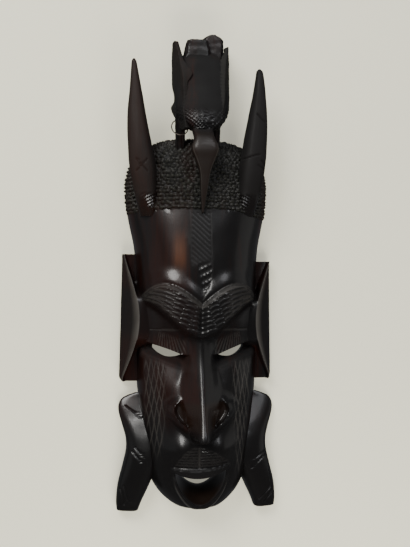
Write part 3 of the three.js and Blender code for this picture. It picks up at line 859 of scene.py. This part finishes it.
horns = []
for horn in HORNS:
    bm = rod(40, 72)

    def horn_place(co):
        return limb_place(horn["rows"], horn["side"], faceted(co, HORN_FACET, horn["side"] * HORN_TWIST))

    def horn_fineness(co):
        point = horn_place(co)
        near = deepest(point, horn["cuts"], CUT_REACH) > 0
        root = horn["root_y"][0] - 3 < point.y < horn["root_y"][1] + 1
        return 1 if (near or root) and co.y > -0.3 else 0

    def horn_depth(v):
        x, y = v.co.xy
        low, high = horn["root_y"]
        inner = smooth(-0.2, 0.3, -horn["side"] * v.normal.x + 0.4 * v.normal.z)
        rings = hatch(y + HORN_ROOT_SLANT * horn["side"] * x, HORN_ROOT_PITCH, HORN_ROOT_HALF)
        rings *= inner * smooth(low - 1, low, y) * smooth(high, high - 2, y)
        line = smooth(0.1, 0.3, v.normal.z) * deepest(v.co, horn["cuts"], HORN_CUT_HALF)
        return waver(v.co, *HORN_WAVER) - HORN_ROOT_CUT * rings - HORN_CUT * line

    refine(bm, horn_fineness)
    for v in bm.verts:
        v.co = horn_place(v.co)
    mark(bm, "cut", lambda v: deepest(v.co, horn["cuts"], HORN_CUT_HALF))
    mark(bm, "dull", lambda v: 0.95 * smooth(62, 74, v.co.y))
    mark(bm, "brown", horn["brown"])
    carve(bm, horn_depth)
    horns.append(carved(horn["name"], bm))

# The bird stands on the crown with its tail up, and bends its neck down over the hair. Its breast is cut in
# scales and its neck in fine rings. Its bill lies down to the hairline, with a painted highlight along its
# bevelled edges.
BIRD_X = 1.5
BIRD_BODY = [
    (124, 10, 44, 9, 8), (130, 17, 42, 12, 12), (140, 21, 39.5, 13, 14), (155, 22.5, 36, 11.5, 14.5),
    (175, 21, 33, 10, 13.5), (187, 19, 31, 9, 12), (192, 17, 28, 6.5, 10), (196, 13, 26, 4, 8),
]
BIRD_NECK = [
    (52.5, 0.8, 49.5, 0.9, 2.4), (62, 1.1, 51.5, 1.9, 2.8), (74, 1.6, 53.5, 3.3, 4), (87, 2.2, 55, 5, 5.2),
    (97, 2.4, 55.5, 8.6, 6.6), (106, 2.2, 55.5, 11.8, 8), (116, 1.8, 53, 8.8, 7.5), (123, 1.4, 46, 9, 7),
    (134, 1.5, 38, 10, 6),
]
LEGS = {
    "left_leg": [
        (104, -16.5, 22, 5, 6), (116, -16.5, 26, 4.5, 5), (126, -16.8, 29, 4.5, 5), (140, -16.8, 34, 5, 6),
    ],
    "right_leg": [
        (104, 14.5, 22, 5, 6), (116, 14.5, 26, 4.5, 5), (126, 14.5, 29, 4.5, 5), (140, 14.5, 34, 5, 6),
    ],
}
SCALES_Y = (122, 146)
SCALE_PITCH = 3.2
SCALE_HALF = 0.9
SCALE_CUT = 0.8
BACK_PITCH = 2.6
BACK_CUT = 0.2
BACK_FACET = 0.8
BACK_TWIST = math.radians(20)
NECK_RING_PITCH = 1.9
NECK_RING_CUT = 0.16
NECK_FACET = 0.5
BILL_EDGE_HIGHLIGHT = 0.6
BIRD_WAVER = {"body": (9, 0.4), "neck": (8, 0.12), "leg": (5, 0.4), "wing": (7, 0.35), "tail": (4, 0.45)}

body_rows = [(y, BIRD_X, z + (front - back) / 2, x, (front + back) / 2) for y, x, z, front, back in BIRD_BODY]
bird = []
bm = rod(48, 56)
refine(bm, lambda co: 1 if co.y > -0.2 and co.z < -0.18 else 0)
for v in bm.verts:
    v.co = limb_place(body_rows, 1, faceted(v.co, BACK_FACET, BACK_TWIST))


def breast_depth(v):
    x, y = v.co.xy
    low, high = SCALES_Y
    scaled = smooth(low, low + 3, y) * smooth(high, high - 6, y)
    scales = max(hatch(y + 0.8 * x, SCALE_PITCH, SCALE_HALF), hatch(y - 1.1 * x, SCALE_PITCH, SCALE_HALF))
    back = smooth(high - 4, high + 6, y) * hatch(y - 0.5 * abs(x - BIRD_X), BACK_PITCH, 0.7)
    return waver(v.co, *BIRD_WAVER["body"]) - SCALE_CUT * scaled * scales - BACK_CUT * back


mark(bm, "dull", lambda v: 0.25 + 0.75 * smooth(SCALES_Y[1] - 14, SCALES_Y[1] - 4, v.co.y))
carve(bm, breast_depth)
bird.append(carved("bird_body", bm))

bm = rod(40, 120)
for v in bm.verts:
    v.co = limb_place(BIRD_NECK, 1, faceted(v.co, NECK_FACET, 0))


def neck_depth(v):
    rings = hatch(v.co.y, NECK_RING_PITCH, 0.6) * smooth(109, 112, v.co.y) * smooth(125, 122, v.co.y)
    return waver(v.co, *BIRD_WAVER["neck"]) - NECK_RING_CUT * rings


# A painted highlight along the bevelled edges of the bill.
def bill_edge_highlight(v):
    return BILL_EDGE_HIGHLIGHT * groove(abs(v.normal.x) - v.normal.z, 0.22) * smooth(114, 108, v.co.y)


mark(bm, "brown", lambda v: smooth(126, 116, v.co.y))
mark(bm, "dull", 0.5)
carve(bm, neck_depth)
mark(bm, "scratch_and_glint", bill_edge_highlight)
bird.append(carved("bird_neck", bm))

for name, leg_rows in LEGS.items():
    bm = rod(20, 24)
    for v in bm.verts:
        v.co = limb_place(leg_rows, 1, v.co)
    carve(bm, lambda v: waver(v.co, *BIRD_WAVER["leg"]))
    bird.append(carved(name, bm))

# The bird's wings are two long blades along its back, notched by their feathers, and its tail ends in two
# blocks, one cut off square and one rounded. Each row of a wing is Y, then X and Z of its outer edge, its
# ridge and its inner edge.
WINGS = {
    "left_wing": [
        (125.5, -16, 36, -13.4, 49, -9, 46), (140, -23, 28, -15.5, 48, -8, 46),
        (147, -25, 26, -15, 47, -7, 44), (153, -22, 25, -15, 46.5, -9, 44),
        (165, -23.5, 24, -15.5, 46, -11.5, 45), (173, -24, 23, -16.5, 45, -7.4, 45.5),
        (184, -24, 23, -18, 42, -13.8, 42), (190, -24, 23, -19, 40, -15.5, 39),
        (204, -23.6, 25, -22, 34, -18.5, 32),
    ],
    "right_wing": [
        (125.5, 17, 36, 14.5, 49, 10, 46), (140, 26, 28, 19, 48, 11, 46), (153, 28, 26, 21, 46, 12, 43),
        (175, 28, 24, 22, 42, 15, 39), (190, 28, 24, 24, 38, 19, 35), (201, 27, 26, 26, 32, 24, 31),
    ],
}
TAIL_BLOCKS = {
    "tail_left": {"x": (-15, 12, -11, 8.5), "y": (188, 206.3), "z": (19, 34), "round": 0.5},
    "tail_right": {"x": (2, 23, 3.5, 23), "y": (188, 213), "z": (11, 27), "round": 5.5},
}
TAIL_ROUND = {"start": 0.78, "power": 2.5}
TAIL_CUT = 0.25
FEATHER_PITCH = 2.6
SHAFT_PITCH = 5.5
FEATHER_CUT = {"outside": 0.5, "top": 0.12}
WING_SQUARE = 2.4


def wing_corners(rows, y):
    ax, az, bx, bz, cx, cz = through(rows, y)
    inward = math.copysign(1, cx - ax)
    return [(cx, cz), (bx, bz), (ax, az), (ax + inward * 5, az - 1)]


def feather_depth(v):
    x, y, z = v.co
    outside = smooth(-0.1, 0.5, math.copysign(v.normal.x, x))
    barbs = hatch(y + 0.9 * z, FEATHER_PITCH, 0.75)
    shafts = hatch(z + 0.12 * y, SHAFT_PITCH, 0.6)
    top = hatch(y - 1.2 * abs(x), FEATHER_PITCH * 1.3, 0.6)
    cuts = FEATHER_CUT["outside"] * outside * max(barbs, shafts)
    return waver(v.co, *BIRD_WAVER["wing"]) - cuts - FEATHER_CUT["top"] * (1 - outside) * top


for name, blade in WINGS.items():
    bm = skinned(lambda y: wing_corners(blade, y), blade[0][0], blade[-1][0], 84)
    for level in range(2):
        level_edges = [e for e in bm.edges if abs(e.verts[0].co.y - e.verts[1].co.y) < 0.3]
        long = [e for e in level_edges if e.calc_length() > WING_SQUARE]
        bmesh.ops.subdivide_edges(bm, edges=long, cuts=1)
    carve(bm, feather_depth)
    # The wings are dusty all over, and greyer on their outer faces: a painted reflection of the pale table.
    mark(bm, "dust_and_sheen", lambda v: 0.25 + 0.55 * smooth(0.0, 0.6, math.copysign(v.normal.x, v.co.x)))
    mark(bm, "nub", 0.8)
    mark(bm, "dull", 1.0)
    bird.append(carved(name, bm))


def tail_corners(block, y):
    share = share_of(*block["y"], y)
    trim = block["round"] * share_of(TAIL_ROUND["start"], 1, share) ** TAIL_ROUND["power"]
    left = block["x"][0] + (block["x"][2] - block["x"][0]) * share + trim
    right = block["x"][1] + (block["x"][3] - block["x"][1]) * share - trim
    low, high = block["z"]
    return [
        (right - 3, high), (right, high - 4), (right, low + 3), (right - 3, low),
        (left + 3, low), (left, low + 3), (left, high - 4), (left + 3, high),
    ]


for name, block in TAIL_BLOCKS.items():
    bm = skinned(lambda y: tail_corners(block, y), *block["y"], 26)
    long = [e for e in bm.edges if e.calc_length() > 3]
    bmesh.ops.subdivide_edges(bm, edges=long, cuts=2)
    carve(bm, lambda v: waver(v.co, *BIRD_WAVER["tail"]) - TAIL_CUT * hatch(v.co.x, 2.2, 0.5))
    mark(bm, "dull", 0.5)
    bird.append(carved(name, bm))

# Behind the face the block is hollowed out with a gouge, up to the walls. The eyes and the mouth are pierced
# through to that hollow, and the floor of the mouth slopes forward to the lower lip.
WALL = 12.0
FACE_WALL = 15.0
HOLLOW_Y = (-198.0, 100.0)
HOLLOW_BELOW = 6.0
GOUGE = {"wide": 9.0, "long": 24.0, "deep": 0.55}
EYE_ROWS = [
    (16.5, -71.6, -70.6), (21.5, -73.2, -68.5), (29, -73.5, -65.7), (36, -70.5, -63.6), (41, -66.2, -62.5),
]
EYE_HOLE_TOP_Z = 80.0
MOUTH_BACK = 0.57
MOUTH_BACK_WIDE = 0.85
MOUTH_FLOOR_Z = (21.0, 40.0)
MOUTH_FRONT_Z = 62.0


def bored(name, segments, steps, place, brown):
    """A rod through the face as a cutter. Place puts its points, which start on a unit rod along Z."""
    bm = rod(segments, steps)
    for v in bm.verts:
        v.co = place(v.co)
    mark(bm, "brown", brown)
    return carved(name, bm)


def eye_place(side, co):
    u = EYE_ROWS[0][0] + (EYE_ROWS[-1][0] - EYE_ROWS[0][0]) * (co.x + 1) / 2
    low, high = through(EYE_ROWS, u)
    up = math.copysign(min(1, 5 * abs(co.y)), co.y)
    return Vector((side * u, (low + high) / 2 + (high - low) / 2 * up, EYE_HOLE_TOP_Z * (co.z + 0.5)))


def mouth_place(co):
    z = MOUTH_FRONT_Z * (co.z + 0.5)
    share = share_of(*MOUTH_FLOOR_Z, z)
    x = MOUTH_WIDE * math.copysign(abs(co.x) ** (2 / MOUTH_POWER), co.x)
    y = upper_lip(x, "low")
    if co.y < 0:
        down = abs(co.y) ** (2 / MOUTH_POWER)
        y = min(y, MOUTH_Y - MOUTH_TALL * down * (MOUTH_BACK + (1 - MOUTH_BACK) * share))
    return Vector((x * (MOUTH_BACK_WIDE + (1 - MOUTH_BACK_WIDE) * share), y, z))


hollow = bmesh.new()
bmesh.ops.create_uvsphere(hollow, u_segments=56, v_segments=60, radius=1)
for v in hollow.verts:
    out = math.hypot(v.co.x, v.co.y)
    y = HOLLOW_Y[0] + (HOLLOW_Y[1] - HOLLOW_Y[0]) * (v.co.z + 1) / 2
    wide = (half_width(y) - WALL) * math.sqrt(out)
    tall = (height(y) - FACE_WALL) * math.sqrt(out)
    sine, cosine = v.co.x / max(out, 1e-6), v.co.y / max(out, 1e-6)
    scoop = GOUGE["deep"] * (
        abs(math.sin(math.pi * v.co.x * wide / GOUGE["wide"])) * abs(math.sin(math.pi * y / GOUGE["long"]))
    )
    z = (tall + scoop) * cosine if cosine > 0 else -HOLLOW_BELOW * min(1, -4 * out * cosine)
    v.co = Vector((wide * sine, y, z))
mark(hollow, "raw", 1.0)
cutters = [carved("hollow", hollow)]
for side in (-1, 1):
    cutters.append(bored("eye_hole", 64, 1, lambda co: eye_place(side, co), 0.0))
cutters.append(bored("mouth_hole", 88, 30, mouth_place, 1.0))

# All of it is one piece of wood, so the forms are joined into one closed skin. The hollow is cut out before
# the horns and the bird are set on. Folded pairs of faces and loose specks that the joins leave are taken
# out, and edges sharper than a worn corner stay crisp.
SHARP_DEGREES = 42
SPECK = 100


def join(whole, part, operation):
    step = whole.modifiers.new(part.name, "BOOLEAN")
    step.object = part
    step.operation = operation
    step.solver = "MANIFOLD"
    evaluated = whole.evaluated_get(bpy.context.evaluated_depsgraph_get())
    mesh = bpy.data.meshes.new_from_object(evaluated)
    whole.modifiers.clear()
    whole.data = mesh
    bpy.data.objects.remove(part)


for part in ears + lobes:
    join(mask, part, "UNION")
for part in cutters:
    join(mask, part, "DIFFERENCE")
for part in horns + bird:
    join(mask, part, "UNION")
skin = bmesh.new()
skin.from_mesh(mask.data)
bmesh.ops.triangulate(skin, faces=[f for f in skin.faces if len(f.verts) > 4])
folded = {}
for face in skin.faces:
    folded.setdefault(frozenset(face.verts), []).append(face)
flaps = [face for pair in folded.values() if len(pair) > 1 for face in pair]
bmesh.ops.delete(skin, geom=flaps, context="FACES")
reached = set()
for start in list(skin.verts):
    if start in reached:
        continue
    body = {start}
    newest = body
    while newest:
        newest = {e.other_vert(v) for v in newest for e in v.link_edges} - body
        body |= newest
    reached |= body
    if len(body) < SPECK:
        bmesh.ops.delete(skin, geom=list(body), context="VERTS")
for kind in ("dust_and_sheen", "dull"):
    layer = skin.verts.layers.float[kind]
    seams = [(v, max(e.other_vert(v)[layer] for e in v.link_edges)) for v in skin.verts if v[layer] == 0]
    for v, value in seams:
        v[layer] = value
for face in skin.faces:
    face.smooth = True
skin.to_mesh(mask.data)
skin.free()
mask.data.set_sharp_from_angle(angle=math.radians(SHARP_DEGREES))
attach(mask, "root")
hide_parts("mask")


# The wood is African blackwood: near-black, with red-brown heartwood in streaks along the block. It is rubbed
# to a low gloss and duller in the cuts. The hair is grey with dust, with a painted sheen on the nub tops, and
# the wings are dusty with a painted reflection on their outer faces. The knife lines are painted lighter,
# partly as bare wood and partly as painted glints, and painted highlights run along the ear ridges, the
# bill's bevelled edges and the lower lip. A warm painted highlight lies on the forehead over the left brow.
# The hollow is left as it was cut.
class Grade:
    """A value that varies over the wood. Sums made with it add Math nodes to its finish."""

    def __init__(self, finish, socket):
        self.finish = finish
        self.socket = socket

    def sum(self, operation, first, second):
        return self.finish.node("ShaderNodeMath", {"operation": operation}, {0: first, 1: second})

    def __add__(self, other):
        return self.sum("ADD", self, other)

    def __sub__(self, other):
        return self.sum("SUBTRACT", self, other)

    def __rsub__(self, other):
        return self.sum("SUBTRACT", other, self)

    def __mul__(self, other):
        return self.sum("MULTIPLY", self, other)

    __radd__ = __add__
    __rmul__ = __mul__

    def between(self, low, high):
        """0 below low, 1 above high, and a smooth rise between them."""
        sockets = {"Value": self, "From Min": low, "From Max": high}
        return self.finish.node("ShaderNodeMapRange", {"interpolation_type": "SMOOTHSTEP"}, sockets)


class Finish:
    """A material, and the one method that adds a node to it."""

    def __init__(self, name):
        self.material = bpy.data.materials.new(name)
        self.material.use_nodes = True
        self.tree = self.material.node_tree
        self.shader = self.tree.nodes["Principled BSDF"]

    def node(self, kind, settings, sockets, output=0):
        made = self.tree.nodes.new(kind)
        for name, value in settings.items():
            setattr(made, name, value)
        for key, value in sockets.items():
            self.feed(made.inputs[key], value)
        return Grade(self, made.outputs[output])

    def feed(self, socket, value):
        if isinstance(value, Grade):
            self.tree.links.new(value.socket, socket)
        else:
            socket.default_value = value

    def set(self, values):
        """Sets the shader's own sockets, each to a plain value or to one that varies."""
        for name, value in values.items():
            self.feed(self.shader.inputs[name], value)

    def mix(self, first, second, share):
        return self.node("ShaderNodeMix", {"data_type": "RGBA"}, {"Factor": share, 6: first, 7: second}, 2)

    def streaks(self, place, stretch, scale, detail):
        """Noise drawn out along the block, as grain is."""
        drawn = self.node("ShaderNodeMapping", {}, {"Vector": place, "Scale": stretch})
        return self.node("ShaderNodeTexNoise", {}, {"Vector": drawn, "Scale": scale, "Detail": detail})


BLACK = (0.0036, 0.0032, 0.0032, 1)
HEART = (0.012, 0.0034, 0.0021, 1)
WARM_HIGHLIGHT = (0.080, 0.028, 0.011, 1)
BROWN = (0.010, 0.0056, 0.0036, 1)
DUST_AND_SHEEN_GREY = (0.015, 0.0147, 0.0115, 1)
RAW = (0.032, 0.021, 0.014, 1)
WORN_AND_GLINT = (0.060, 0.055, 0.050, 1)
GLOSS = 0.24
COAT = {"weight": 0.24, "roughness": 0.14}
WARM_HIGHLIGHT_X = 0.019

wood = Finish("blackwood")
place = wood.node("ShaderNodeTexCoord", {}, {}, output="Object")
x_place = wood.node("ShaderNodeSeparateXYZ", {}, {"Vector": place}, output="X")
y_place = Grade(wood, x_place.socket.node.outputs["Y"])
dust_and_sheen_share, raised, scored, dull, brown, raw, scratch_and_glint = [
    wood.node("ShaderNodeAttribute", {"attribute_name": kind}, {}, output="Fac") for kind in MARKS
]

figure = wood.streaks(place, (1, 0.16, 1), 30, 3)
grain = wood.streaks(place, (1, 0.045, 1), 420, 5)
pores = wood.streaks(place, (1, 0.09, 1), 1500, 2)
patches = wood.node("ShaderNodeTexNoise", {}, {"Vector": place, "Scale": 42, "Detail": 4})

left_half = 1 - x_place.between(-0.008, 0.004)
heart = (figure + 0.28 * grain + 0.16 * left_half).between(0.62, 0.86) * y_place.between(-0.150, -0.100)
by_nose = x_place.between(-0.020, -0.013) * (1 - x_place.between(-0.006, -0.002))
heart = heart + by_nose * (1 - y_place.between(-0.075, -0.050)) * y_place.between(-0.140, -0.125)
# A painted highlight: a warm red-brown patch on the forehead over the foot of the left brow, where the window
# light falls.
warm_highlight = (x_place + WARM_HIGHLIGHT_X).between(-0.008, -0.001) * (1 - (x_place + WARM_HIGHLIGHT_X).between(0.001, 0.008))
warm_highlight = warm_highlight * y_place.between(-0.002, 0.014) * (1 - y_place.between(0.018, 0.042)) * (0.2 + 0.9 * grain)
on_brows = y_place.between(-0.062, -0.048) * (1 - y_place.between(-0.018, -0.008))
colour = wood.mix(BLACK, HEART, heart * (0.35 + 0.9 * grain) * (1 - 0.7 * on_brows))
colour = wood.mix(colour, WARM_HIGHLIGHT, 0.9 * warm_highlight)
colour = wood.mix(colour, BROWN, brown * (0.3 + 0.9 * figure))
# Grey dust in the hair and on the wings. On the nub tops it is a painted sheen, and on the wings' outer faces
# a painted reflection.
colour = wood.mix(colour, DUST_AND_SHEEN_GREY, dust_and_sheen_share * (0.15 + 0.85 * raised) * (0.4 + 0.8 * patches))
colour = wood.mix(colour, RAW, 0.85 * raw)
# Painted glints and highlights: lighter along the knife lines, partly as bare wood, and painted highlights on
# the ear ridges, the bill's edges and the lower lip.
colour = wood.mix(colour, WORN_AND_GLINT, scratch_and_glint * (0.25 + 0.9 * patches))
worn = GLOSS + 0.16 * patches + 0.26 * dust_and_sheen_share + 0.30 * raw + 0.32 * scored + 0.50 * dull * (1 - 0.5 * dust_and_sheen_share)
bump = {"Strength": 0.22, "Distance": 0.0002, "Height": 0.5 * grain + 0.5 * pores}
wood.set({
    "Base Color": colour,
    "Roughness": worn,
    "Coat Weight": COAT["weight"] * (1 - dust_and_sheen_share) * (1 - raw) * (1 - dull),
    "Coat Roughness": COAT["roughness"],
    "Specular IOR Level": 0.28,
    "Normal": wood.node("ShaderNodeBump", {}, bump),
})
mask.data.materials.clear()
mask.data.materials.append(wood.material)

# The hanging wire: a ring of thin dark iron wire, bent round the bird's left leg. It leans, with its front
# part lower on the leg than its back part.
WIRE_R = 0.5
WIRE_RING = {"at": (-17.2, 129.0, 30.0), "across": 7.2, "along": 8.0, "deep": 7.2}
IRON = (0.10, 0.09, 0.085, 1)
RUST = (0.05, 0.034, 0.026, 1)

wire_bm = bmesh.new()
reach = math.hypot(WIRE_RING["along"], WIRE_RING["deep"])
section = bmesh.ops.create_circle(wire_bm, segments=12, radius=WIRE_R)["verts"]
bmesh.ops.rotate(wire_bm, verts=section, cent=(0, 0, 0), matrix=Matrix.Rotation(math.pi / 2, 3, "X"))
bmesh.ops.translate(wire_bm, verts=section, vec=(reach, 0, 0))
ring = {"cent": (0, 0, 0), "axis": (0, 0, 1), "angle": 2 * math.pi, "steps": 96, "use_merge": True}
bmesh.ops.spin(wire_bm, geom=wire_bm.edges[:], **ring)
lean = Matrix.Rotation(-math.atan2(WIRE_RING["deep"], WIRE_RING["along"]), 3, "X")
for v in wire_bm.verts:
    turn = math.atan2(v.co.y, v.co.x)
    out = Vector((math.cos(turn) / WIRE_RING["across"], math.sin(turn) / reach)).normalized()
    out *= math.hypot(v.co.x, v.co.y) - reach
    x = WIRE_RING["across"] * math.cos(turn) + out.x
    y = reach * math.sin(turn) + out.y
    v.co = Vector(WIRE_RING["at"]) + lean @ Vector((x, y, v.co.z))
wire = carved("wire_ring", wire_bm)
for face in wire.data.polygons:
    face.use_smooth = True
iron = Finish("dark_iron_wire")
iron_place = iron.node("ShaderNodeTexCoord", {}, {}, output="Object")
spots = iron.node("ShaderNodeTexNoise", {}, {"Vector": iron_place, "Scale": 900, "Detail": 3})
iron.set({"Base Color": iron.mix(IRON, RUST, spots), "Roughness": 0.35 + 0.3 * spots, "Metallic": 0.85})
wire.data.materials.append(iron.material)
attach(wire, "root")
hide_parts("hanging_wire")

# The mask lies on a pale table. The table glows faintly, so that the pierced eyes show bright, and the wood
# mirrors neither it nor the low fill lamp. Soft window light comes from the upper left, and the camera looks
# down from a little to the left.
FLOOR_HALF = 2.5
FLOOR_COLOUR = (0.62, 0.600, 0.465, 1)
FLOOR_GLOW = {"colour": (1.0, 0.97, 0.80, 1), "strength": 0.32}
ROOM = {"colour": (0.92, 0.95, 1.0, 1), "strength": 0.11}
CAMERA_AIM = Vector((0.0065, 0, 0.020))
CAMERA_DISTANCE = 0.676
CAMERA_YAW = math.radians(7)
CAMERA_VIEW = math.radians(40)

table = bmesh.new()
bmesh.ops.create_grid(table, x_segments=1, y_segments=1, size=FLOOR_HALF)
floor = meshed("table", table)
paper = Finish("pale_table")
paper.set({
    "Base Color": FLOOR_COLOUR,
    "Roughness": 0.75,
    "Emission Color": FLOOR_GLOW["colour"],
    "Emission Strength": FLOOR_GLOW["strength"],
})
floor.visible_glossy = False
floor.data.materials.append(paper.material)

world = bpy.data.worlds.new("room")
bpy.context.scene.world = world
world.use_nodes = True
background = world.node_tree.nodes["Background"].inputs
background["Color"].default_value = ROOM["colour"]
background["Strength"].default_value = ROOM["strength"]

LIGHTS = [
    {"name": "window", "at": (-0.60, 0.86, 1.02), "size": 0.7, "watts": 25, "colour": (1.0, 0.99, 0.96)},
    {"name": "far_window", "at": (0.45, 0.95, 1.02), "size": 0.7, "watts": 8, "colour": (0.95, 0.96, 1.0)},
    {"name": "left_wall", "at": (-1.6, 0.0, 0.3), "size": 1.2, "watts": 1.0, "colour": (0.96, 0.98, 1.0)},
    {"name": "right_wall", "at": (1.6, 0.2, 0.3), "size": 1.2, "watts": 2.0, "colour": (1.0, 0.98, 0.94)},
    {"name": "low_fill", "at": (0.1, -0.9, 0.6), "size": 0.8, "watts": 18, "colour": (1.0, 0.98, 0.92)},
]
NOT_MIRRORED = "low_fill"
for light in LIGHTS:
    data = bpy.data.lights.new(light["name"], "AREA")
    data.size = light["size"]
    data.energy = light["watts"]
    data.color = light["colour"]
    lamp = added(light["name"], data)
    lamp.visible_glossy = light["name"] != NOT_MIRRORED
    lamp.location = light["at"]
    lamp.rotation_euler = (-Vector(light["at"])).to_track_quat("-Z", "Y").to_euler()

lens = bpy.data.cameras.new("camera")
lens.lens = lens.sensor_width / 2 / math.tan(CAMERA_VIEW / 2)
camera = added("camera", lens)
away = Vector((-math.sin(CAMERA_YAW), 0, math.cos(CAMERA_YAW)))
camera.location = CAMERA_AIM + CAMERA_DISTANCE * away
camera.rotation_euler = (0, -CAMERA_YAW, 0)
bpy.context.scene.camera = camera
